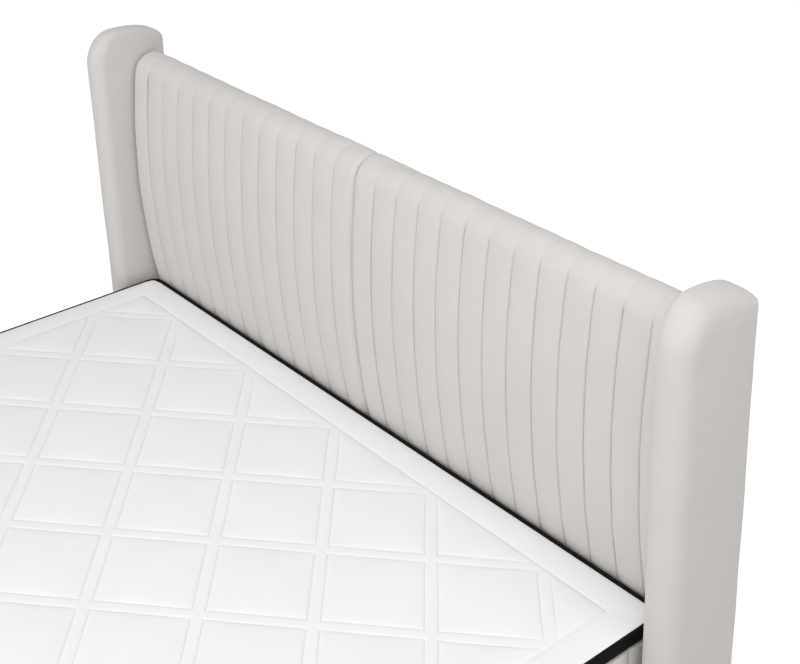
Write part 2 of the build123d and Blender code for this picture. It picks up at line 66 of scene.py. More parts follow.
# Quilt of the topper: its height over the side band, its plain border, and its cells, with ribbons between
PANEL_HEIGHT = 6 * MM
QUILT_BORDER = 70 * MM
HEAD_BORDER = 76 * MM
CELLS_ACROSS = 5
CELLS_ALONG = 6.64
CELL_SHARE = 0.8815

# Relief of the quilt: how far cells and ribbons rise and how softly, fading to FADE_LEAST at the border, and
# the width and strength of the painted shade at its stitches
STITCH_DEPTH = 1.0 * MM
STITCH_SHADE_WIDTH = 1.1 * MM
CELL_PUFF = (1.5 * MM, 5.0 * MM)
CELL_SOFTNESS = (2.2 * MM, 26 * MM)
RIBBON_RISE = 1.9 * MM
RIBBON_SOFTNESS = 2.2 * MM
FADE_WIDTH = 75 * MM
FADE_LEAST = 0.3
BORDER_STITCH_SHADE = 0.6
QUILT_RIPPLE = 0.5 * MM
QUILT_RIPPLE_SCALE = 11

# Mesh lines of the quilt: over half a ribbon as shares of it, into a cell in millimetres, inside the border
RIBBON_LINES = (0.0, 0.3, 0.55, 0.75, 0.89, 1.0)
CELL_LINES = (1.2, 2.6, 4.5, 8, 13, 20, 30, 42, 58, 76)
CELL_LINES_END = 0.47
BORDER_LINES = (1.4 * MM, 5 * MM)
LATTICE_MARGIN = 0.6

# Plain border of the quilt: how it rises and falls to its rounded edge, its rings in millimetres, and how far
# its edge lies inside its node's box at the sides and at the head
BORDER_RISE = 2.8 * MM
BORDER_SOFTNESS = 8
BORDER_FALL = 2.2
RISING_RINGS = (1.5, 3.5, 7, 12, 20, 31)
FALLING_RINGS = (40, 49, 56, 61)
PANEL_ROUND = 4.2 * MM
PANEL_SET_IN = (1 * MM, 5.5 * MM)

# Black band of the topper: its section in millimetres, out from its outermost line and up from its bottom,
# and its lengthwise ribs, which end BAND_TURN behind that line
BAND_SECTION = [
    (-18, 0.0), (-5, 0.0), (-2.2, 1.2), (-0.8, 4.0), (-0.1, 8.5), (0.0, 13.0), (-0.4, 18.0),
    (-1.4, 22.0), (-3.0, 24.8), (-5.0, 26.2), (-7.5, 26.4), (-11.0, 25.2), (-18, 23.0),
]
BAND_BULGE = 10 * MM
BAND_RIBS = 9
BAND_RIB_LINES = 8
BAND_RIB_HEIGHT = 0.25 * MM
BAND_TURN = 12 * MM

# Section of a headboard cushion: a shallow arc, foremost at APEX_RISE above the topper, and a roll at the top
FRONT_RADIUS = 1700 * MM
APEX_RISE = 315 * MM
ROLL_RADIUS = 52 * MM
FOOT_RADIUS = 18 * MM
BACK_RADIUS = 12 * MM
END_RADIUS = 12 * MM
LEAST_RADIUS = 3 * MM

# Channels of a cushion: the arc between seams, the groove of a seam and the painted shade along it, and its
# mesh lines
CHANNELS = 13
CHANNEL_ARC = 3.2 * MM
ARC_CHANGE = 0.15
SEAM_DEPTH = 2.6 * MM
SEAM_WIDTH = 1.3 * MM
SEAM_SHADE_WIDTH = 0.6 * MM
SEAM_MESH = [0.0, 0.8 * MM, 2.6 * MM, 8 * MM, 20 * MM]

# Where grooves and arcs fade below the top of a cushion, and what is left of them on its roll
SEAM_START = 20 * MM
SEAM_WANDER = 8 * MM
SEAM_FADE = 30 * MM
SEAM_AT_TOP = 0.1
ARC_AT_TOP = 0.6
FADE_HELD = 0.2

# The cushions' cloth step, which holds the seams where their fade is over FADE_HELD
PUFF_FRAMES = 20
PUFF_PRESSURE = 4.0
PUFF_LIMIT = 2.0 * MM

# A wing: depth and height of its top corners in side view, the least of the one behind, the radii of its
# edges in front, on top and behind, and how full its faces are
WING_FRONT_CORNER = (72 * MM, 90 * MM)
WING_BACK_CORNER = (112 * MM, 42 * MM)
WING_LEAST_CORNER = 20 * MM
WING_INNER_EDGES = (30 * MM, 16 * MM, 8 * MM)
WING_OUTER_EDGES = (42 * MM, 46 * MM, 16 * MM)
WING_FULLNESS = 2.5 * MM

# Mesh of a wing: points up a side, round a corner and an edge, columns of a face, and rows till it is full
WING_SIDE_POINTS = 44
WING_CORNER_POINTS = 14
WING_EDGE_RINGS = 9
WING_COLUMNS = (0.12, 0.3, 0.5, 0.7, 0.88)
WING_FULL_ROWS = 8

# Channelled sides: size and fullness of a channel, its mesh steps, the width of the painted shade at its
# seam, and how much flatter it is on a rounded edge
SIDE_PITCH = 70 * MM
SIDE_DEPTH = 8 * MM
SIDE_POWER = 2.4
SIDE_STEPS = 10
SIDE_SHADE_WIDTH = 1.6 * MM
SIDE_FLATTENING = 0.55

# Wall of the mattress border, in terms of its margin round the top panel, and the hem and the deck of a box
# cover: rings so far in from its edge, and so far above its bottom or below its top
BORDER_WALL = 1.5
BORDER_WALL_DROP = 3 * MM
HEM_RINGS = [(12 * MM, 5 * MM), (10 * MM, 0.0)]
DECK_RINGS = [(8 * MM, 0.4 * MM)] + [(inset * MM, 0.8 * MM) for inset in (40, 110, 200, 300)]

# Unevenness of padded faces: its height, and its waves to the metre
CUSHION_RIPPLE = (1.2 * MM, 14)
WING_RIPPLE = (1.4 * MM, 7)
SIDE_RIPPLE = (0.9 * MM, 16)

# Rings of a plain cloth panel, and the lower pad: its rounding, its fullness and its rings in millimetres
CLOTH_RINGS = (300 * MM, 120 * MM, 40 * MM)
PAD_ROUND = 12 * MM
PAD_FULLNESS = 2 * MM
PAD_FALL = 0.4
PAD_RINGS = (30, 70, 120, 180)

# Back cloth of the headboard: its openings round the bolts, and its turn over the top rail
BOLT_SPACING = 420 * MM
BOLT_HEAD_RADIUS = 7 * MM
BOLT_OPENING = 12 * MM
TURN_THICKNESS = 3 * MM
TURN_HEIGHT = 1.5 * MM
TURN_LAP = 8 * MM

# Studio: floor, ambient light, and softboxes by place and power
FLOOR_RADIUS = 30
FLOOR_TONE = (0.86, 0.86, 0.86, 1)
FLOOR_GLOW = 1.30
FLOOR_GLOW_SHARE = 0.70
WHITE = (1, 1, 1, 1)
AMBIENT_STRENGTH = 0.43
SOFTBOX_SIZE = 2.4
SOFTBOX_TARGET = (0, 0.3, 0.7)
SOFTBOXES = {
    "overhead": ((1.5, -0.8, 4.0), 57),
    "front": ((-0.6, -3.6, 3.2), 74),
    "right": ((3.2, 0.6, 2.6), 26),
}

# Camera: angles in degrees, lens and sensor in millimetres
CAMERA_PLACE = (2.2915, -0.7375, 2.4246)
CAMERA_AZIMUTH = 47.50
CAMERA_FALL = 22.55
CAMERA_LENS = 66.6
CAMERA_SENSOR = 36
CAMERA_SHIFT = (-0.125, -0.2275)


# Materials: every one is made of nodes over the piece's own coordinates in metres
class Shader:
    """A principled material with short calls for the nodes that drive it."""

    def __init__(self, name, roughness, **constants):
        self.material = bpy.data.materials.new(name)
        self.material.use_nodes = True
        self.nodes = self.material.node_tree.nodes
        self.links = self.material.node_tree.links
        self.out = self.nodes["Principled BSDF"]
        self.out.inputs["Roughness"].default_value = roughness
        for label, value in constants.items():
            self.out.inputs[label.replace("_", " ")].default_value = value
        self.place = self.nodes.new("ShaderNodeTexCoord").outputs["Object"]

    def join(self, source, target):
        """Link a socket, or set a plain value."""
        if isinstance(source, bpy.types.NodeSocket):
            self.links.new(source, target)
        else:
            target.default_value = source

    def stretched(self, scale):
        """Coordinates scaled by a different number on each axis."""
        node = self.nodes.new("ShaderNodeMapping")
        self.links.new(self.place, node.inputs["Vector"])
        node.inputs["Scale"].default_value = scale
        return node.outputs["Vector"]

    def texture(self, kind, vector, **values):
        """A texture over the piece's own coordinates, or over other ones."""
        node = self.nodes.new("ShaderNodeTex" + kind)
        self.links.new(vector or self.place, node.inputs["Vector"])
        for label, value in values.items():
            node.inputs[label].default_value = value
        return node

    def noise(self, scale, detail=3.0, vector=None, roughness=0.55):
        """Soft irregular values about 0.5, with scale features to the metre."""
        return self.texture("Noise", vector, Scale=scale, Detail=detail, Roughness=roughness).outputs["Fac"]

    def cells(self, scale):
        """Distance to the nearest of scattered points."""
        return self.texture("Voronoi", None, Scale=scale).outputs["Distance"]

    def wave(self, scale, direction, distortion=0.0, vector=None, detail=2.0):
        """Bands across one axis."""
        node = self.texture("Wave", vector, Scale=scale, Distortion=distortion, Detail=detail)
        node.bands_direction = direction
        return node.outputs["Fac"]

    def sum(self, first, second, operation="ADD"):
        """Two values joined by arithmetic."""
        node = self.nodes.new("ShaderNodeMath")
        node.operation = operation
        self.join(first, node.inputs[0])
        self.join(second, node.inputs[1])
        return node.outputs[0]

    def span(self, value, low, high, start, end):
        """Values from low to high become values from start to end."""
        node = self.nodes.new("ShaderNodeMapRange")
        self.join(value, node.inputs["Value"])
        for label, number in (("From Min", low), ("From Max", high), ("To Min", start), ("To Max", end)):
            node.inputs[label].default_value = number
        return node.outputs["Result"]

    def blend(self, share, first, second, mode="MIX"):
        """Two colours, or a colour and a socket, mixed by a share."""
        node = self.nodes.new("ShaderNodeMix")
        node.data_type = "RGBA"
        node.blend_type = mode
        self.join(share, node.inputs["Factor"])
        for source, label in ((first, "A"), (second, "B")):
            target = [s for s in node.inputs if s.name == label and s.type == "RGBA"][0]
            self.join(source if isinstance(source, bpy.types.NodeSocket) else (*source, 1), target)
        return [s for s in node.outputs if s.type == "RGBA"][0]

    def attribute(self, name):
        """A value that the mesh holds at each point."""
        node = self.nodes.new("ShaderNodeAttribute")
        node.attribute_name = name
        return node.outputs["Fac"]

    def bump(self, height, distance, strength=1.0, under=None):
        """Normals of a relief, over those of a coarser one."""
        node = self.nodes.new("ShaderNodeBump")
        node.inputs["Distance"].default_value = distance
        node.inputs["Strength"].default_value = strength
        self.links.new(height, node.inputs["Height"])
        if under:
            self.links.new(under, node.inputs["Normal"])
        return node.outputs["Normal"]

    def finish(self, colour, normal, roughness=None):
        """Joins what drives the surface, and gives the material."""
        self.join(colour, self.out.inputs["Base Color"])
        self.links.new(normal, self.out.inputs["Normal"])
        if roughness:
            self.links.new(roughness, self.out.inputs["Roughness"])
        return self.material


def upholstery_fabric():
    """Soft napped cloth: fine fibres, faint mottling and painted shade along each seam."""
    s = Shader("upholstery", 0.92, Sheen_Weight=0.22, Sheen_Roughness=0.45, Specular_IOR_Level=0.18)
    mottle = s.span(s.noise(7, 3), 0.35, 0.65, 0, 1)
    tone = s.blend(mottle, (0.655, 0.624, 0.608), (0.637, 0.617, 0.590))
    fibre = s.noise(1100, 4, roughness=0.65)
    speckle = s.span(fibre, 0.3, 0.7, 0.93, 1.05)
    tone = s.blend(1.0, tone, s.blend(speckle, (0, 0, 0), (1, 1, 1)), "MULTIPLY")
    # painted shade: the cloth is darkened along the seam grooves, by the seam attribute
    seam = s.span(s.attribute("seam"), 0, 1, 0, 0.55)
    tone = s.blend(seam, tone, (0.30, 0.285, 0.27))
    soft = s.bump(s.noise(420, 3), 0.5 * MM, 0.5)
    return s.finish(tone, s.bump(fibre, 0.3 * MM, 0.6, soft))


def quilt_fabric():
    """White knitted cover cloth, its loops a millimetre across, with painted shade along its stitch lines."""
    s = Shader("quilt_fabric", 0.85, Sheen_Weight=0.10, Sheen_Roughness=0.5, Specular_IOR_Level=0.2)
    loops = s.sum(s.wave(420, "X", 0.6), s.wave(300, "Y", 0.6), "MULTIPLY")
    tone = s.blend(s.span(s.noise(5, 2), 0.3, 0.7, 0, 1), (0.880, 0.880, 0.881), (0.862, 0.863, 0.866))
    # painted shade: the cloth is darkened along the stitch lines, by the seam attribute
    tone = s.blend(s.span(s.attribute("seam"), 0, 1, 0, 0.5), tone, (0.52, 0.52, 0.53))
    return s.finish(tone, s.bump(s.sum(loops, s.noise(900, 2)), 0.25 * MM, 0.35))


def band_fabric():
    """Black side cloth with fine lengthwise ribs."""
    s = Shader("band_fabric", 0.8, Specular_IOR_Level=0.12)
    ribs = s.wave(130, "Z", 0.0)
    tone = s.blend(ribs, (0.0018, 0.0018, 0.0018), (0.0052, 0.0052, 0.0054))
    return s.finish(tone, s.bump(s.sum(ribs, s.noise(1400, 2)), 0.3 * MM, 0.5))


def woven_fabric(name, dark, light, scale):
    """Plain woven cloth."""
    s = Shader(name, 0.9, Sheen_Weight=0.1, Specular_IOR_Level=0.2)
    weave = s.sum(s.wave(scale, "X", 0.4), s.wave(scale, "Y", 0.4), "MULTIPLY")
    tone = s.blend(s.sum(weave, s.noise(9), "MULTIPLY"), dark, light)
    return s.finish(tone, s.bump(weave, 0.3 * MM, 0.5))


def spun_fabric(name, dark, light):
    """Bonded cloth with pressed dots."""
    s = Shader(name, 0.8, Specular_IOR_Level=0.3)
    dots = s.cells(650)
    tone = s.blend(s.span(dots, 0, 0.8, 0, 1), dark, light)
    return s.finish(tone, s.bump(s.sum(dots, s.noise(1200)), 0.25 * MM, 0.5))


def foam_stuff():
    """Cut foam with open pores."""
    s = Shader("foam", 0.95, Specular_IOR_Level=0.1)
    pores = s.cells(900)
    tone = s.blend(s.span(s.noise(6), 0.3, 0.7, 0, 1), (0.80, 0.76, 0.60), (0.84, 0.80, 0.66))
    return s.finish(tone, s.bump(pores, 0.4 * MM, 0.6))


def wood(name, dark, light, stretch, roughness=0.6, rings=14):
    """Sawn wood: bands of grain drawn out along one axis, with fine pores."""
    s = Shader(name, roughness, Specular_IOR_Level=0.35)
    along = s.stretched(stretch)
    grain = s.wave(rings, "DIAGONAL", 5.0, along, 3.0)
    pores = s.noise(160, 4, along, 0.7)
    tone = s.blend(grain, dark, light)
    tone = s.blend(s.span(pores, 0.35, 0.65, 0.25, 0), tone, dark)
    rough = s.span(pores, 0.3, 0.7, roughness - 0.08, roughness + 0.08)
    return s.finish(tone, s.bump(pores, 0.2 * MM, 0.4), rough)


def glide_plastic():
    """Dark moulded plastic with a fine grain."""
    s = Shader("glide_plastic", 0.5, Specular_IOR_Level=0.4)
    grain = s.noise(900, 2)
    tone = s.blend(grain, (0.020, 0.020, 0.021), (0.034, 0.034, 0.035))
    return s.finish(tone, s.bump(grain, 0.1 * MM, 0.5), s.span(grain, 0.3, 0.7, 0.42, 0.58))


def zinc_steel():
    """Zinc-plated steel with faint crystals."""
    s = Shader("steel", 0.35, Metallic=1.0)
    spangle = s.cells(160)
    tone = s.blend(spangle, (0.52, 0.53, 0.55), (0.64, 0.65, 0.67))
    return s.finish(tone, s.bump(s.noise(700, 2), 0.05 * MM, 0.4), s.span(spangle, 0, 1, 0.28, 0.46))


ALONG_Y = (1.0, 0.06, 1.0)
ALONG_X = (0.06, 1.0, 1.0)
ALONG_Z = (1.0, 1.0, 0.06)
MATERIALS = {
    "upholstery": upholstery_fabric(),
    "quilt_fabric": quilt_fabric(),
    "band_fabric": band_fabric(),
    "panel_fabric": woven_fabric("panel_fabric", (0.50, 0.48, 0.455), (0.64, 0.62, 0.59), 330),
    "dust_fabric": spun_fabric("dust_fabric", (0.018, 0.018, 0.018), (0.045, 0.045, 0.046)),
    "pocket_fabric": spun_fabric("pocket_fabric", (0.66, 0.66, 0.65), (0.80, 0.80, 0.79)),
    "foam": foam_stuff(),
    "timber": wood("timber", (0.48, 0.32, 0.17), (0.68, 0.51, 0.32), ALONG_Y),
    "beech": wood("beech", (0.52, 0.35, 0.20), (0.68, 0.50, 0.32), ALONG_X, rings=22),
    "plywood": wood("plywood", (0.50, 0.36, 0.21), (0.66, 0.52, 0.35), ALONG_Z, rings=9),
    "foot_finish": wood("foot_finish", (0.016, 0.012, 0.010), (0.040, 0.031, 0.026), ALONG_Z, 0.38, 26),
    "glide_plastic": glide_plastic(),
    "steel": zinc_steel(),
}

for part in frame["record"]["subparts"]:
    mesh = frame["nodes"][part["node"]].data
    mesh.materials.clear()
    mesh.materials.append(MATERIALS[part["material_slot"]])


def placed(name, data):
    """A new object in the scene."""
    obj = bpy.data.objects.new(name, data)
    scene.collection.objects.link(obj)
    return obj


# Meshes
def softly(share):
    """Smooth step from 0 to 1."""
    share = np.clip(share, 0.0, 1.0)
    return share * share * (3 - 2 * share)


def grid_faces(rows, columns, wrap_rows=False, wrap_columns=False):
    """Four-sided faces over points that are stored row by row."""
    faces = []
    for r in range(rows if wrap_rows else rows - 1):
        below, above = r * columns, ((r + 1) % rows) * columns
        for c in range(columns if wrap_columns else columns - 1):
            d = (c + 1) % columns
            faces.append((below + c, below + d, above + d, above + c))
    return faces


def capped(rows, columns):
    """Faces of a tube of rows, with a face over each end."""
    last = (rows - 1) * columns
    ends = [tuple(range(columns)), tuple(range(last + columns - 1, last - 1, -1))]
    return grid_faces(rows, columns, wrap_columns=True) + ends


def outward(mesh):
    """Turns the faces of a closed mesh outward and shades them smooth."""
    shape = bmesh.new()
    shape.from_mesh(mesh)
    bmesh.ops.recalc_face_normals(shape, faces=shape.faces)
    shape.to_mesh(mesh)
    shape.free()
    mesh.polygons.foreach_set("use_smooth", [True] * len(mesh.polygons))


def new_mesh(name, points, faces):
    """A closed smooth mesh."""
    mesh = bpy.data.meshes.new(name)
    mesh.from_pydata([tuple(p) for p in points], [], faces)
    outward(mesh)
    return mesh


def coordinates(mesh):
    """Places of the points, row by row."""
    values = np.empty(len(mesh.vertices) * 3, np.float32)
    mesh.vertices.foreach_get("co", values)
    return values.reshape(-1, 3).astype(float)


def normals(mesh):
    """Outward directions at the points, row by row."""
    values = np.empty(len(mesh.vertices) * 3, np.float32)
    mesh.vertex_normals.foreach_get("vector", values)
    return values.reshape(-1, 3).astype(float)


def move(mesh, points):
    """Puts the points of the mesh at new places."""
    mesh.vertices.foreach_set("co", points.astype(np.float32).ravel())
    mesh.update()


def subdivided(mesh):
    """The mesh with each face divided once and smoothed."""
    obj = placed("shaping", mesh)
    obj.modifiers.new("smoothing", "SUBSURF").levels = 1
    result = bpy.data.meshes.new_from_object(obj.evaluated_get(bpy.context.evaluated_depsgraph_get()))
    bpy.data.objects.remove(obj)
    return result


def puff(mesh, held):
    """Blows a closed cover up as cloth. held are the points that stay, and none moves past PUFF_LIMIT."""
    obj = placed("puffing", mesh)
    group = obj.vertex_groups.new(name="held")
    group.add([int(i) for i in held], 1.0, "REPLACE")
    cloth = obj.modifiers.new("cloth", "CLOTH")
    cloth.point_cache.frame_end = PUFF_FRAMES
    cloth.settings.quality = 4
    cloth.settings.vertex_group_mass = "held"
    cloth.settings.use_pressure = True
    cloth.settings.uniform_pressure_force = PUFF_PRESSURE
    cloth.settings.effector_weights.gravity = 0
    for number in range(1, PUFF_FRAMES + 1):
        scene.frame_set(number)
    still = coordinates(mesh)
    shift = coordinates(obj.evaluated_get(bpy.context.evaluated_depsgraph_get()).data) - still
    length = np.linalg.norm(shift, axis=1)
    bpy.data.objects.remove(obj)
    scene.frame_set(1)
    move(mesh, still + shift * np.minimum(1, PUFF_LIMIT / np.maximum(length, 1e-9))[:, None])


def ripple(mesh, height, scale, seed):
    """Moves each point along its normal by smooth noise, so that no padded face is dead flat."""
    points = coordinates(mesh)
    offset = Vector((seed * 3.1, seed * 1.7, seed * 5.3))
    amounts = np.array([noise.noise(Vector(p) * scale + offset) for p in points]) * height
    move(mesh, points + normals(mesh) * amounts[:, None])


def mark_seam_shade(mesh, values):
    """Keeps how near each point is to a seam, for the painted shade there in the material."""
    mesh.attributes.new("seam", "FLOAT", "POINT").data.foreach_set("value", np.asarray(values, np.float32))


def dress(name, mesh, body, slot, nodes):
    """Ties a mesh to a body of the frame, in the place of CAD nodes and in the finish of a slot."""
    mesh.name = name
    mesh.materials.clear()
    mesh.materials.append(MATERIALS[slot])
    obj = placed(name, mesh)
    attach(obj, body)
    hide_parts(*nodes)
    return obj


# Headboard cushions
def cushion_outline(inset, low, high, y_apex, z_apex, y_back):
    """Section of a cushion in Y and Z, drawn in by inset in front, on top and below."""
    radius = FRONT_RADIUS - inset
    centre = (y_apex + inset + radius, z_apex)
    foot, roll, back = (max(LEAST_RADIUS, r - inset) for r in (FOOT_RADIUS, ROLL_RADIUS, BACK_RADIUS))
    bottom, top = low + inset, high - inset

    def fillet_centre(z, r):
        """Centre of a rounding inside the front arc."""
        return (centre[0] - math.sqrt((radius - r) ** 2 - (z - centre[1]) ** 2), z)

    foot_centre, roll_centre = fillet_centre(bottom + foot, foot), fillet_centre(top - roll, roll)

    def angle_at(point):
        """Direction from the centre of the front arc."""
        return math.atan2(point[1] - centre[1], point[0] - centre[0]) % (2 * math.pi)

    def arc(mid, r, start, end, count):
        """Points on an arc."""
        angles = np.linspace(start, end, count)
        return [(mid[0] + r * math.cos(a), mid[1] + r * math.sin(a)) for a in angles]

    foot_angle, roll_angle = angle_at(foot_centre), angle_at(roll_centre)
    outline = [(y_back, bottom), ((y_back + foot_centre[0]) / 2, bottom)]
    outline += arc(foot_centre, foot, math.pi * 1.5, foot_angle, 5)
    outline += arc(centre, radius, foot_angle, roll_angle, 56)[1:-1]
    outline += arc(roll_centre, roll, roll_angle, math.pi / 2, 9)
    outline += arc((y_back - back, top - back), back, math.pi / 2, 0, 4)
    outline += [(y_back, top - 40 * MM), (y_back, (top + bottom) / 2)]
    return outline


def cushion(name, side):
    """One channelled cushion: rounded sections set side by side, puffed between the seams, then each seam is
    sunk."""
    low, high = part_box(f"{name}_cushion_cover")
    y_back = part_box(f"{name}_cushion_board")[1].y
    length = high.x - low.x
    pitch = length / CHANNELS
    across = SEAM_MESH + [pitch / 2] + [pitch - a for a in SEAM_MESH[:0:-1]]
    stations = [pitch * k + a for k in range(CHANNELS) for a in across] + [length]
    z_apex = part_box("topper_side_band")[1].z + PANEL_HEIGHT + APEX_RISE
    points, held = [], []
    for s in stations:
        gap = min(s, length - s)
        end = END_RADIUS - math.sqrt(END_RADIUS**2 - max(0, END_RADIUS - gap) ** 2)
        channel = min(CHANNELS - 1, int(s / pitch + 1e-6))
        share = abs(2 * (s / pitch - channel) - 1)
        depth = CHANNEL_ARC * (1 + ARC_CHANGE * math.sin(2.4 * channel + side))
        sunk = depth * share**2 if pitch / 2 < s < length - pitch / 2 else 0
        plain = np.array(cushion_outline(end, low.z, high.z, low.y, z_apex, y_back))
        drawn = np.array(cushion_outline(end + sunk, low.z, high.z, low.y, z_apex, y_back))
        below = softly((high.z - SEAM_START - plain[:, 1]) / SEAM_FADE)
        outline = plain + (drawn - plain) * (ARC_AT_TOP + (1 - ARC_AT_TOP) * below)[:, None]
        start = len(points)
        points += [(side * s, y, z) for y, z in outline]
        at_seam = (share > 0.999) & (below > FADE_HELD)
        held += [start + k for k in range(len(outline)) if at_seam[k] or k < 2 or k > len(outline) - 4]
    mesh = new_mesh("cushion", points, capped(len(stations), len(outline)))
    puff(mesh, held)
    mesh = subdivided(mesh)
    points, out = coordinates(mesh), normals(mesh)
    x = np.abs(points[:, 0])
    gap = np.abs(x - pitch * np.clip(np.round(x / pitch), 1, CHANNELS - 1))
    start = high.z - SEAM_START + SEAM_WANDER * np.sin(5 * np.round(x / pitch) + side)
    fade = softly((start - points[:, 2]) / SEAM_FADE)
    sink = SEAM_DEPTH * np.exp(-((gap / SEAM_WIDTH) ** 2)) * (SEAM_AT_TOP + (1 - SEAM_AT_TOP) * fade)
    move(mesh, points - out * sink[:, None])
    ripple(mesh, *CUSHION_RIPPLE, 3 + side)
    # painted shade along each seam, fading with its groove
    mark_seam_shade(mesh, np.exp(-((gap / SEAM_SHADE_WIDTH) ** 2)) * fade)
    outward(mesh)
    nodes = [f"{name}_cushion_cover", f"{name}_cushion_foam"]
    dress(f"{name}_cushion_upholstery", mesh, "frame", "upholstery", nodes)


# Wings
def wing_outline(y, z, insets=(0.0, 0.0, 0.0)):
    """Side view of a wing, up the front, over the top and down the back, drawn in by insets in front, on top
    and behind: places in Y and Z, and how much each belongs to the front, the top and the back."""
    (y_front, y_back), z_top = (y[0] + insets[0], y[1] - insets[2]), z[1] - insets[1]
    deep, high = WING_FRONT_CORNER[0] - insets[0], WING_FRONT_CORNER[1] - insets[1]
    back_deep = max(WING_LEAST_CORNER, WING_BACK_CORNER[0] - insets[2])
    back_high = max(WING_LEAST_CORNER, WING_BACK_CORNER[1] - insets[1])
    places, directions = [], []
    for height in np.linspace(z[0], z_top - high, WING_SIDE_POINTS)[:-1]:
        places.append((y_front, height))
        directions.append((-1.0, 0.0))
    turn = np.linspace(0, math.pi / 2, WING_CORNER_POINTS)
    for t in turn:
        places.append((y_front + deep - deep * math.cos(t), z_top - high + high * math.sin(t)))
        directions.append((-math.cos(t) / deep, math.sin(t) / high))
    for t in turn[1:]:
        across, rise = back_deep * (math.sin(t) - 1), back_high * (math.cos(t) - 1)
        places.append((y_back + across, z_top + rise))
        directions.append((math.sin(t) / back_deep, math.cos(t) / back_high))
    for height in np.linspace(z_top - back_high, z[0], WING_SIDE_POINTS)[1:]:
        places.append((y_back, height))
        directions.append((1.0, 0.0))
    directions = np.array(directions)
    directions /= np.linalg.norm(directions, axis=1)[:, None]
    on_top = directions[:, 1] ** 2
    in_front = np.where(directions[:, 0] < 0, 1 - on_top, 0)
    return np.array(places), np.stack([in_front, on_top, 1 - on_top - in_front])


def wing(name, side):
    """One padded wing: two full faces of crossing lines, joined round the outline by rounded edges."""
    low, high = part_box(f"{name}_wing_cover")
    inner, outer = sorted((abs(low.x), abs(high.x)))
    y, z = (low.y, high.y), (low.z, high.z)
    places, shares = wing_outline(y, z)
    sheets = []
    for face, inward, edges in ((inner, 1, WING_INNER_EDGES), (outer, -1, WING_OUTER_EDGES)):
        radius = np.asarray(edges) @ shares
        rings = []
        for t in np.linspace(0, math.pi / 2, WING_EDGE_RINGS):
            drawn, _ = wing_outline(y, z, [edge * (1 - math.sin(t)) for edge in edges])
            x = face + inward * (WING_FULLNESS + radius * (1 - math.cos(t)))
            rings.append(np.column_stack([np.broadcast_to(x, len(drawn)), drawn]))
        sheets.append(rings)
    rings = sheets[0] + sheets[1][::-1]
    points = [tuple(p) for ring in rings for p in ring]
    count = len(places)
    faces = grid_faces(len(rings), count, wrap_columns=True)
    for ring, inward in ((0, 1), (len(rings) - 1, -1)):
        fill_wing_face(points, faces, ring * count, count, inward)
    points = [(side * x, y, z) for x, y, z in points]
    mesh = subdivided(new_mesh("wing", points, faces))
    ripple(mesh, *WING_RIPPLE, 7 + side)
    outward(mesh)
    nodes = [f"{name}_wing_cover", f"{name}_wing_foam"]
    dress(f"{name}_wing_upholstery", mesh, "frame", "upholstery", nodes)


def fill_wing_face(points, faces, start, count, inward):
    """Adds one side of a wing: rows of faces from its front edge to its back edge, closed on the middle one
    of its count outline points. The side is fullest in the middle."""
    half = count // 2
    rows = [[start + k] for k in range(half)]
    for k in range(half):
        front, back = Vector(points[start + k]), Vector(points[start + count - 1 - k])
        rise = min(1.0, (half - 1 - k) / WING_FULL_ROWS)
        for share in WING_COLUMNS:
            spot = front.lerp(back, share)
            spot.x -= inward * WING_FULLNESS * rise * math.sin(math.pi * share)
            rows[k].append(len(points))
            points.append(tuple(spot))
        rows[k].append(start + count - 1 - k)
    for below, above in zip(rows[:-1], rows[1:]):
        for a in range(len(WING_COLUMNS) + 1):
            faces.append((below[a], below[a + 1], above[a + 1], above[a]))
    last = rows[-1]
    faces += [(last[a], last[a + 1], start + half) for a in range(len(WING_COLUMNS) + 1)]


# Channelled borders of the boxes and the mattress
def rounded_path(x, y, corner_radii):
    """A closed rectangle with rounded corners as runs, anticlockwise from its low corner. Each run is its
    start, its direction, its length and its radius, which is 0 where it is straight."""
    corners = [(x[0], y[0]), (x[1], y[0]), (x[1], y[1]), (x[0], y[1])]
    headings = [(1, 0), (0, 1), (-1, 0), (0, -1)]
    runs = []
    for k, (corner, heading) in enumerate(zip(corners, headings)):
        after = corners[(k + 1) % 4]
        start, end = corner_radii[k], corner_radii[(k + 1) % 4]
        length = abs(after[0] - corner[0]) + abs(after[1] - corner[1]) - start - end
        begin = (corner[0] + heading[0] * start, corner[1] + heading[1] * start)
        runs.append((begin, heading, length, 0.0))
        turn = (after[0] - heading[0] * end, after[1] - heading[1] * end)
        runs.append((turn, heading, end * math.pi / 2, end))
    return runs


def path_point(run, distance):
    """Place and outward direction at a distance along a run."""
    (x, y), (hx, hy), _, radius = run
    if not radius:
        return (x + hx * distance, y + hy * distance), (hy, -hx)
    angle = distance / radius
    out = (hy * math.cos(angle) + hx * math.sin(angle), -hx * math.cos(angle) + hy * math.sin(angle))
    centre = (x - hy * radius, y + hx * radius)
    return (centre[0] + out[0] * radius, centre[1] + out[1] * radius), out


def plain_path(x, y, corner, straight, round_steps=8):
    """Places and outward directions round a rounded rectangle."""
    found = []
    for run in rounded_path(x, y, [corner] * 4):
        steps = round_steps if run[3] else straight
        found += [path_point(run, t) for t in np.linspace(0, run[2], steps + 1)[:-1]]
    return found


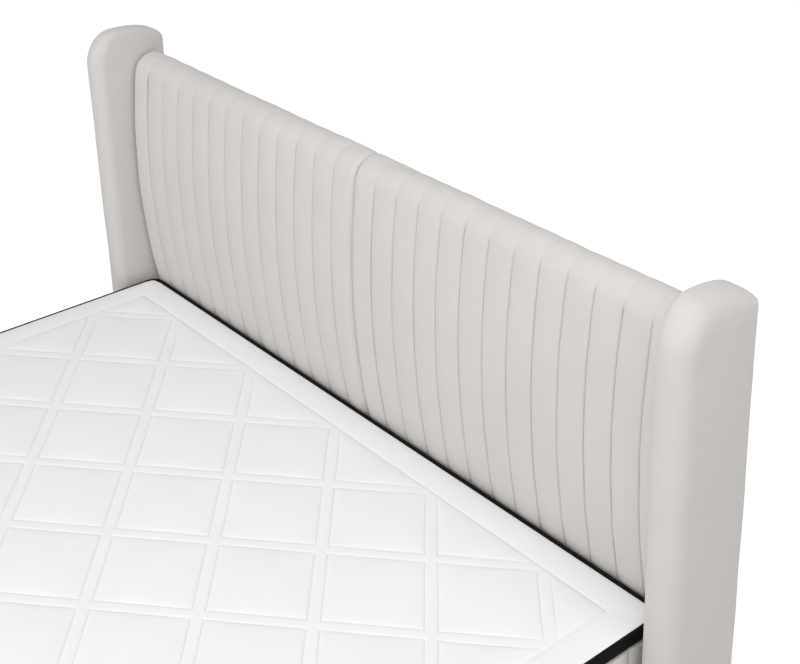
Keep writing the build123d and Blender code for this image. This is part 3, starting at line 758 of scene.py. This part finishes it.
def channel_path(runs, plain):
    """Places round a path, close together at the seams, each with its outward direction, its height from 0 at
    a seam to 1, and how much painted shade it takes at a seam. The runs whose numbers are in plain have no
    channels."""
    places = -np.cos(np.linspace(0, math.pi, SIDE_STEPS + 1))
    found = []
    for k, run in enumerate(runs):
        length = run[2]
        if k in plain:
            steps = 5 if run[3] else 24
            found += [(*path_point(run, t), 0.0, 0.0) for t in np.linspace(0, length, steps + 1)[:-1]]
            continue
        count = max(1, round(length / SIDE_PITCH))
        for c in range(count):
            for share in places[:-1]:
                at = length / count * (c + 0.5 + share / 2)
                height = float((1 - abs(share) ** SIDE_POWER) ** (1 / SIDE_POWER))
                to_seam = (1 - abs(share)) * length / count / 2
                found.append((*path_point(run, at), height, max(0.0, 1 - to_seam / SIDE_SHADE_WIDTH)))
    return found


def offset_ring(path, reach, z):
    """A ring that stands outside the path by reach."""
    return [(p[0][0] + p[1][0] * reach, p[0][1] + p[1][1] * reach, z) for p in path]


def inner_ring(path, x, y, inset, z):
    """The path drawn in towards the middle of the rectangle it follows, by inset on each side."""
    cx, cy = (x[0] + x[1]) / 2, (y[0] + y[1]) / 2
    sx, sy = 1 - 2 * inset / (x[1] - x[0]), 1 - 2 * inset / (y[1] - y[0])
    return [(cx + (p[0][0] - cx) * sx, cy + (p[0][1] - cy) * sy, z) for p in path]


def border_rows(z, rounding):
    """Heights from the bottom to the top of a border, each with how far its edge is drawn in there."""
    edge = []
    for a in np.linspace(0, math.pi / 2, 6):
        edge.append((rounding * (1 - math.cos(a)), rounding * (1 - math.sin(a))))
    middle = [(h, 0.0) for h in np.linspace(z[0] + rounding, z[1] - rounding, 12)[1:-1]]
    lower, upper = [(z[0] + h, inset) for h, inset in edge], [(z[1] - h, inset) for h, inset in edge[::-1]]
    return lower + middle + upper


def border_points(path, rows):
    """A wall that follows the path and bulges at its channels, with the painted seam shade of each point."""
    points, seam = [], []
    for z, drawn_in in rows:
        fade = 1 - SIDE_FLATTENING * drawn_in / EDGE_ROUND
        for (x, y), (nx, ny), height, seam_shade_value in path:
            reach = SIDE_DEPTH * height * fade - drawn_in
            points.append((x + nx * reach, y + ny * reach, z))
            seam.append(seam_shade_value)
    return points, seam


def mattress_border():
    """The channelled side of the mattress, a closed ring round the foam."""
    low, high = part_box("mattress_border")
    inner_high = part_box("mattress_top_panel")[1]
    x = (low.x + SIDE_DEPTH, high.x - SIDE_DEPTH)
    y = (low.y + SIDE_DEPTH, high.y - SIDE_DEPTH)
    path = channel_path(rounded_path(x, y, [PLAN_CORNER - SIDE_DEPTH] * 4), ())
    rows = border_rows((low.z, high.z), MATTRESS_EDGE)
    points, seam = border_points(path, rows)
    wall = BORDER_WALL * (x[1] - inner_high.x)
    for z in (high.z - BORDER_WALL_DROP, low.z + BORDER_WALL_DROP):
        points += inner_ring(path, x, y, wall, z)
        seam += [0.0] * len(path)
    faces = grid_faces(len(rows) + 2, len(path), wrap_rows=True, wrap_columns=True)
    mesh = new_mesh("border", points, faces)
    ripple(mesh, *SIDE_RIPPLE, 21)
    # painted shade along the seams of the border
    mark_seam_shade(mesh, seam)
    dress("mattress_border_upholstery", mesh, "mattress", "upholstery", ["mattress_border"])


def box_upholstery(name, side):
    """The cover of one box: channels at its outer side and foot end, plain where the boxes meet and behind
    the headboard, with the deck cloth on top and a turned-in hem below."""
    low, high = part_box(f"{name}_box_cover")
    outer = max(abs(low.x), abs(high.x))
    x, y = (0.0, outer - SIDE_DEPTH), (low.y + SIDE_DEPTH, high.y)
    small = EDGE_ROUND + 2 * MM
    runs = rounded_path(x, y, [small, PLAN_CORNER - SIDE_DEPTH, small, small])
    path = channel_path(runs, (3, 4, 5, 6, 7))
    rows = border_rows((low.z, high.z), EDGE_ROUND)
    points, seam = border_points(path, rows)
    before, after = [], []
    for inset, rise in HEM_RINGS:
        before += inner_ring(path, x, y, EDGE_ROUND + inset, low.z + rise)
    for inset, drop in DECK_RINGS:
        after += inner_ring(path, x, y, EDGE_ROUND + inset, high.z - drop)
    seam = [0.0] * len(before) + seam + [0.0] * len(after)
    points = [(side * px, py, pz) for px, py, pz in before + points + after]
    mesh = new_mesh("box", points, capped(len(rows) + len(HEM_RINGS) + len(DECK_RINGS), len(path)))
    ripple(mesh, *SIDE_RIPPLE, 31 + side)
    # painted shade along the seams of the box cover
    mark_seam_shade(mesh, seam)
    dress(f"{name}_box_upholstery", mesh, "frame", "upholstery", [f"{name}_box_cover"])


# Topper
def quilt_lines(between):
    """Places of the mesh lines in one period of the lattice, close together at both sides of each stitch."""
    ribbon = (1 - CELL_SHARE) / 2
    in_cell = [ribbon + t * MM / between for t in CELL_LINES]
    half = [ribbon * t for t in RIBBON_LINES] + [t for t in in_cell if t < CELL_LINES_END]
    return [0.0] + [0.5 - t for t in half[::-1]] + [0.5 + t for t in half[1:]]


def quilt_height(px, py, x, y, cell, between):
    """How far a point of the quilt stands above its stitches, and how much painted shade it takes near a
    stitch line. between is the distance of neighbouring lattice lines."""
    ribbon = (1 - CELL_SHARE) / 2
    a, b = (px - x[0]) / cell[0], (y[1] - py) / cell[1]
    across = [abs((t % 1.0) - 0.5) for t in (a + b, a - b)]
    to_border = max(0.0, min(px - x[0], x[1] - px, py - y[0], y[1] - py))
    fade = FADE_LEAST + (1 - FADE_LEAST) * float(softly(to_border / FADE_WIDTH))
    border_shade = BORDER_STITCH_SHADE * max(0.0, 1 - to_border / STITCH_SHADE_WIDTH)
    if min(across) >= ribbon:
        gaps = [max(0.0, (t - ribbon) * between) for t in across]
        puffs = 0.0
        for puff, softness in zip(CELL_PUFF, CELL_SOFTNESS):
            for gap in gaps:
                puff *= 1 - fade * math.exp(-gap / softness)
            puffs += puff * (1 - math.exp(-to_border / softness))
        return puffs, max(max(0.0, 1 - min(gaps) / STITCH_SHADE_WIDTH) * fade, border_shade)
    inside = max(ribbon - t for t in across) * between
    rise = RIBBON_RISE * (1 - fade * math.exp(-inside / RIBBON_SOFTNESS))
    near = max(max(0.0, 1 - inside / STITCH_SHADE_WIDTH) * fade, border_shade)
    return rise * (1 - math.exp(-to_border / RIBBON_SOFTNESS)), near


def quilt_lattice(x, y, cell, between):
    """A flat mesh of the cells and ribbons, cut off at the stitches of the border, with lines inside them."""
    period = quilt_lines(between)
    last = math.ceil(CELLS_ALONG)
    lines_u = np.array([k + t for k in range(-1, CELLS_ACROSS + last + 1) for t in period])
    lines_v = np.array([k + t for k in range(-last - 1, CELLS_ACROSS + 1) for t in period])
    u, v = np.meshgrid(lines_u, lines_v, indexing="ij")
    px, py = x[0] + cell[0] * (u + v) / 2, y[1] - cell[1] * (u - v) / 2
    margin = LATTICE_MARGIN * max(cell)
    keep = (px > x[0] - margin) & (px < x[1] + margin) & (py > y[0] - margin) & (py < y[1] + margin)
    number = np.full(keep.shape, -1)
    number[keep] = np.arange(keep.sum())
    quads = np.stack([number[:-1, :-1], number[1:, :-1], number[1:, 1:], number[:-1, 1:]], -1).reshape(-1, 4)
    quads = quads[(quads >= 0).all(1)]
    mesh = bpy.data.meshes.new("topper_quilt")
    mesh.from_pydata(np.column_stack([px[keep], py[keep], np.zeros(keep.sum())]).tolist(), [], quads.tolist())
    shape = bmesh.new()
    shape.from_mesh(mesh)
    for axis, places in ((0, x), (1, y)):
        for place, sense in zip(places, (-1, 1)):
            cut(shape, axis, place, sense, clear_outer=True)
    bmesh.ops.delete(shape, geom=[w for w in shape.verts if not w.link_faces], context="VERTS")
    for inset in BORDER_LINES:
        for axis, places in ((0, x), (1, y)):
            cut(shape, axis, places[0] + inset, 1)
            cut(shape, axis, places[1] - inset, 1)
    return mesh, shape


def cut(shape, axis, place, sense, **settings):
    """Cuts the faces of a shape along a plane across one axis."""
    at, out = [0, 0, 0], [0, 0, 0]
    at[axis], out[axis] = place, sense
    geometry = shape.verts[:] + shape.edges[:] + shape.faces[:]
    bmesh.ops.bisect_plane(shape, geom=geometry, plane_co=at, plane_no=out, dist=1e-6, **settings)


def border_rings(z_base, z_stitch, width):
    """Rings from the stitches of the border to its rounded edge: how far out and how high each is."""
    shoulder, crest = z_base + PANEL_ROUND, z_stitch + BORDER_RISE
    rings = [(t * MM, z_stitch + BORDER_RISE * (1 - math.exp(-t / BORDER_SOFTNESS))) for t in RISING_RINGS]
    top = RISING_RINGS[-1] * MM
    for t in FALLING_RINGS:
        share = (t * MM - top) / (width - PANEL_ROUND - top)
        rings.append((t * MM, crest + (shoulder - crest) * share**BORDER_FALL))
    for angle in np.linspace(0, math.pi / 2, 6)[1:]:
        out, up = math.sin(angle), math.cos(angle)
        rings.append((width - PANEL_ROUND * (1 - out), shoulder - PANEL_ROUND * (1 - up)))
    return rings


def quilt_panel():
    """The quilted top of the topper: puffed diamond cells between crossing ribbons, a plain border round
    them, and a rounded edge down to the side band."""
    low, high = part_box("topper_top_panel")
    z_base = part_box("topper_side_band")[1].z
    z_stitch = z_base + PANEL_HEIGHT - STITCH_DEPTH
    x = (low.x + QUILT_BORDER, high.x - QUILT_BORDER)
    y = (low.y + QUILT_BORDER, high.y - HEAD_BORDER)
    cell = ((x[1] - x[0]) / CELLS_ACROSS, (y[1] - y[0]) / CELLS_ALONG)
    between = cell[0] * cell[1] / math.hypot(*cell)
    mesh, shape = quilt_lattice(x, y, cell, between)
    seam_shade_layer = shape.verts.layers.float.new("seam")
    for w in shape.verts:
        rise, near = quilt_height(w.co.x, w.co.y, x, y, cell, between)
        spot = Vector((w.co.x * QUILT_RIPPLE_SCALE, w.co.y * QUILT_RIPPLE_SCALE, 2.7))
        w.co.z = z_stitch + rise + QUILT_RIPPLE * noise.noise(spot)
        # painted shade near the stitch lines, kept for the material
        w[seam_shade_layer] = near

    half = Vector(((x[1] - x[0]) / 2, (y[1] - y[0]) / 2))
    centre = Vector((x[0], y[0])) + half
    width = QUILT_BORDER - PANEL_SET_IN[0]
    boundary = [e for e in shape.edges if e.is_boundary]
    before = 0.0
    for distance, z in border_rings(z_base, z_stitch, width):
        made = bmesh.ops.extrude_edge_only(shape, edges=boundary)["geom"]
        boundary = [g for g in made if isinstance(g, bmesh.types.BMEdge) and g.is_boundary]
        for w in {w for e in boundary for w in e.verts}:
            w.co.x = centre.x + (w.co.x - centre.x) * (half.x + distance) / (half.x + before)
            w.co.y = centre.y + (w.co.y - centre.y) * (half.y + distance) / (half.y + before)
            w.co.z = z
            w[seam_shade_layer] = 0.0
        before = distance
    bmesh.ops.contextual_create(shape, geom=boundary)
    round_corners(shape, centre, half + Vector((width, width)), TOPPER_CORNER)
    for w in shape.verts:
        beyond = w.co.y - y[1]
        if beyond > 0:
            w.co.y = y[1] + beyond * (HEAD_BORDER - PANEL_SET_IN[1]) / width
    shape.to_mesh(mesh)
    shape.free()
    outward(mesh)
    dress("topper_quilted_top", mesh, "topper", "quilt_fabric", ["topper_top_panel"])


def round_corners(shape, centre, size, radius):
    """Draws the four corners of a flat rectangular shape in, from square to rounded."""
    for w in shape.verts:
        dx, dy = w.co.x - centre.x, w.co.y - centre.y
        cx, cy = abs(dx) - (size.x - radius), abs(dy) - (size.y - radius)
        if cx > 0 and cy > 0:
            reach, limit = math.hypot(cx, cy), max(cx, cy)
            w.co.x = centre.x + math.copysign(size.x - radius + cx * limit / reach, dx)
            w.co.y = centre.y + math.copysign(size.y - radius + cy * limit / reach, dy)


def side_band():
    """The black band round the topper, full and with fine ribs along it, up to the edge of the top panel."""
    low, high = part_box("topper_side_band")
    x, y = (low.x + BAND_BULGE, high.x - BAND_BULGE), (low.y + BAND_BULGE, high.y - BAND_BULGE)
    path = plain_path(x, y, PLAN_CORNER - BAND_BULGE, 60, 10)
    section = np.array(BAND_SECTION) * MM
    length = np.concatenate([[0], np.cumsum(np.hypot(*np.diff(section, axis=0).T))])
    steps = np.linspace(0, length[-1], BAND_RIB_LINES * BAND_RIBS + 1)
    reach, height = (smoothed(np.interp(steps, length, section[:, k])) for k in (0, 1))
    points = []
    for step, r, h in zip(steps, reach, height):
        rib = BAND_RIB_HEIGHT * (1 - abs(math.cos(math.pi * BAND_RIBS * step / length[-1])))
        points += offset_ring(path, BAND_BULGE + r - (rib if r > -BAND_TURN else 0), low.z + h)
    faces = grid_faces(len(steps), len(path), wrap_rows=True, wrap_columns=True)
    mesh = new_mesh("band", points, faces)
    dress("topper_band", mesh, "topper", "band_fabric", ["topper_side_band"])


def smoothed(values):
    """A line of values with its corners rounded and its ends kept."""
    for _ in range(3):
        values = np.concatenate([values[:1], (values[:-2] + 2 * values[1:-1] + values[2:]) / 4, values[-1:]])
    return values


# Plain cloths
def cloth_panel(name, node, body, slot, corner, fold):
    """A thin cloth panel in the place of a CAD one, as thick as that from fold inward."""
    low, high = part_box(node)
    x, y = (low.x, high.x), (low.y, high.y)
    path = plain_path(x, y, corner, 40)
    middle, half = (low.z + high.z) / 2, (high.z - low.z) / 2
    side = [(inset, -1.0) for inset in (*CLOTH_RINGS, fold)] + [(0.3 * fold, -0.75)]
    rows = side + [(0.0, 0.0)] + [(inset, -share) for inset, share in side[::-1]]
    points = [p for inset, share in rows for p in inner_ring(path, x, y, inset, middle + half * share)]
    mesh = new_mesh(name, points, capped(len(rows), len(path)))
    obj = dress(name, mesh, body, slot, [node])


def lower_pad():
    """The plain padded part of the headboard behind the mattress."""
    low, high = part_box("headboard_lower_cover")
    x, z = (low.x, high.x), (low.z, high.z)
    path = plain_path(x, z, PAD_ROUND, 36)
    rows = [(0.0, high.y), (0.0, (low.y + high.y) / 2)]
    for t in np.linspace(0, math.pi / 2, 7):
        inset, depth = PAD_ROUND * (1 - math.cos(t)), PAD_ROUND * (1 - math.sin(t))
        rows.append((inset, low.y + PAD_FULLNESS + depth))
    for ring in PAD_RINGS:
        rows.append((ring * MM, low.y + PAD_FULLNESS * PAD_FALL ** (ring / PAD_RINGS[0])))
    points = [(px, at, pz) for inset, at in rows for px, pz, _ in inner_ring(path, x, z, inset, 0)]
    mesh = new_mesh("lower_pad", points, capped(len(rows), len(path)))
    nodes = ["headboard_lower_cover", "headboard_lower_foam"]
    dress("headboard_lower_upholstery", mesh, "frame", "upholstery", nodes)


def back_cloth():
    """Plain cloth over the back of the headboard, open round the bolts and turned over the top rail."""
    low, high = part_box("headboard_back_cover")
    rail_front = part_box("headboard_top_rail")[0].y
    bolts_low, bolts_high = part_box("headboard_bolts")
    z_bolt = (bolts_low.z + bolts_high.z) / 2
    far = bolts_high.x - BOLT_HEAD_RADIUS
    turns = np.linspace(0, 2 * math.pi, 33)[:-1]
    loops = [[(low.x, low.z), (high.x, low.z), (high.x, high.z), (low.x, high.z)]]
    for x in (-far, BOLT_SPACING - far, far - BOLT_SPACING, far):
        loops.append([(x + BOLT_OPENING * math.cos(t), z_bolt + BOLT_OPENING * math.sin(t)) for t in turns])
    flat, faces = [], []
    for loop in loops:
        faces.append(list(range(len(flat), len(flat) + len(loop))))
        flat += [Vector(p) for p in loop]
    verts, _, made, *_ = delaunay_2d_cdt(flat, [], faces, 5, 1e-6)
    mesh = bpy.data.meshes.new("back_cloth")
    mesh.from_pydata([(v.x, low.y, v.y) for v in verts], [], made)
    shape = bmesh.new()
    shape.from_mesh(mesh)
    grown = bmesh.ops.extrude_face_region(shape, geom=shape.faces[:])["geom"]
    for w in [g for g in grown if isinstance(g, bmesh.types.BMVert)]:
        w.co.y = high.y
    inside, above, lap = high.y - TURN_THICKNESS, high.z + TURN_HEIGHT, high.z - TURN_LAP
    section = [
        (high.y, lap), (high.y, high.z - 2 * MM), (high.y - 1 * MM, high.z + 0.7 * TURN_HEIGHT),
        (inside, above), (rail_front, above), (rail_front, high.z), (inside, high.z), (inside, lap),
    ]
    ends = [[shape.verts.new((x, a, b)) for a, b in section] for x in (low.x, high.x)]
    for k in range(len(section)):
        shape.faces.new([ends[0][k - 1], ends[0][k], ends[1][k], ends[1][k - 1]])
    shape.faces.new(ends[0])
    shape.faces.new(ends[1][::-1])
    bmesh.ops.recalc_face_normals(shape, faces=shape.faces)
    shape.to_mesh(mesh)
    shape.free()
    obj = dress("headboard_back_cloth", mesh, "frame", "upholstery", ["headboard_back_cover"])


for hand, sign in (("right", 1), ("left", -1)):
    cushion(hand, sign)
    wing(hand, sign)
    box_upholstery(hand, sign)
mattress_border()
quilt_panel()
side_band()
lower_pad()
back_cloth()
for name, node, body, slot, corner, fold in (
    ("topper_underside", "topper_bottom_panel", "topper", "panel_fabric", UNDERSIDE_CORNER, 2 * MM),
    ("mattress_top_cloth", "mattress_top_panel", "mattress", "quilt_fabric", CLOTH_CORNER, 3 * MM),
    ("mattress_bottom_cloth", "mattress_bottom_panel", "mattress", "panel_fabric", CLOTH_CORNER, 3 * MM),
    ("left_dust_cover", "left_box_dust_cloth", "frame", "dust_fabric", DUST_COVER_CORNER, 1 * MM),
    ("right_dust_cover", "right_box_dust_cloth", "frame", "dust_fabric", DUST_COVER_CORNER, 1 * MM),
):
    cloth_panel(name, node, body, slot, corner, fold)


# Floor, lights and camera
def seen_white(tree, lit, white, share):
    """Mixes a shader with white, by a share, where the camera, a mirror or glass looks at it."""

    def maths(operation, first):
        """A maths node with its first value joined."""
        node = tree.nodes.new("ShaderNodeMath")
        node.operation = operation
        tree.links.new(first, node.inputs[0])
        return node

    path = tree.nodes.new("ShaderNodeLightPath")
    seen = path.outputs["Is Camera Ray"]
    for ray in ("Is Glossy Ray", "Is Transmission Ray"):
        either = maths("MAXIMUM", seen)
        tree.links.new(path.outputs[ray], either.inputs[1])
        seen = either.outputs[0]
    scaled = maths("MULTIPLY", seen)
    scaled.inputs[1].default_value = share
    mix = tree.nodes.new("ShaderNodeMixShader")
    tree.links.new(scaled.outputs[0], mix.inputs["Fac"])
    tree.links.new(lit.outputs[0], mix.inputs[1])
    tree.links.new(white.outputs[0], mix.inputs[2])
    return mix.outputs[0]


def lay_floor():
    """A wide white floor that darkens only where it is in shadow."""
    mesh = bpy.data.meshes.new("floor")
    shape = bmesh.new()
    bmesh.ops.create_circle(shape, cap_ends=True, segments=96, radius=FLOOR_RADIUS)
    shape.to_mesh(mesh)
    shape.free()
    placed("floor", mesh)
    material = bpy.data.materials.new("floor")
    material.use_nodes = True
    tree = material.node_tree
    plain = tree.nodes.new("ShaderNodeBsdfDiffuse")
    plain.inputs["Color"].default_value = FLOOR_TONE
    glow = tree.nodes.new("ShaderNodeEmission")
    glow.inputs["Strength"].default_value = FLOOR_GLOW
    surface = seen_white(tree, plain, glow, FLOOR_GLOW_SHARE)
    tree.links.new(surface, tree.nodes["Material Output"].inputs["Surface"])
    mesh.materials.append(material)


def light_world():
    """Even ambient light, with a backdrop that is seen as white."""
    world = bpy.data.worlds.new("studio")
    scene.world = world
    world.use_nodes = True
    tree = world.node_tree
    ambient = tree.nodes["Background"]
    ambient.inputs["Color"].default_value = WHITE
    ambient.inputs["Strength"].default_value = AMBIENT_STRENGTH
    backdrop = tree.nodes.new("ShaderNodeBackground")
    backdrop.inputs["Color"].default_value = WHITE
    backdrop.inputs["Strength"].default_value = 1.0
    surface = seen_white(tree, ambient, backdrop, 1.0)
    tree.links.new(surface, tree.nodes["World Output"].inputs["Surface"])


def softbox(name, place, power):
    """A large square lamp that looks at the bed."""
    lamp = bpy.data.lights.new(name, "AREA")
    lamp.size = SOFTBOX_SIZE
    lamp.energy = power
    obj = placed(name, lamp)
    obj.location = place
    obj.rotation_euler = (Vector(SOFTBOX_TARGET) - Vector(place)).to_track_quat("-Z", "Y").to_euler()


def place_camera():
    """The camera that fits the photograph."""
    lens = bpy.data.cameras.new("camera")
    lens.lens = CAMERA_LENS
    lens.sensor_width = CAMERA_SENSOR
    lens.shift_x, lens.shift_y = CAMERA_SHIFT
    camera = placed("camera", lens)
    camera.location = CAMERA_PLACE
    camera.rotation_euler = (math.radians(90 - CAMERA_FALL), 0, math.radians(CAMERA_AZIMUTH))
    scene.camera = camera


lay_floor()
light_world()
for label, (place, power) in SOFTBOXES.items():
    softbox(label, place, power)
place_camera()
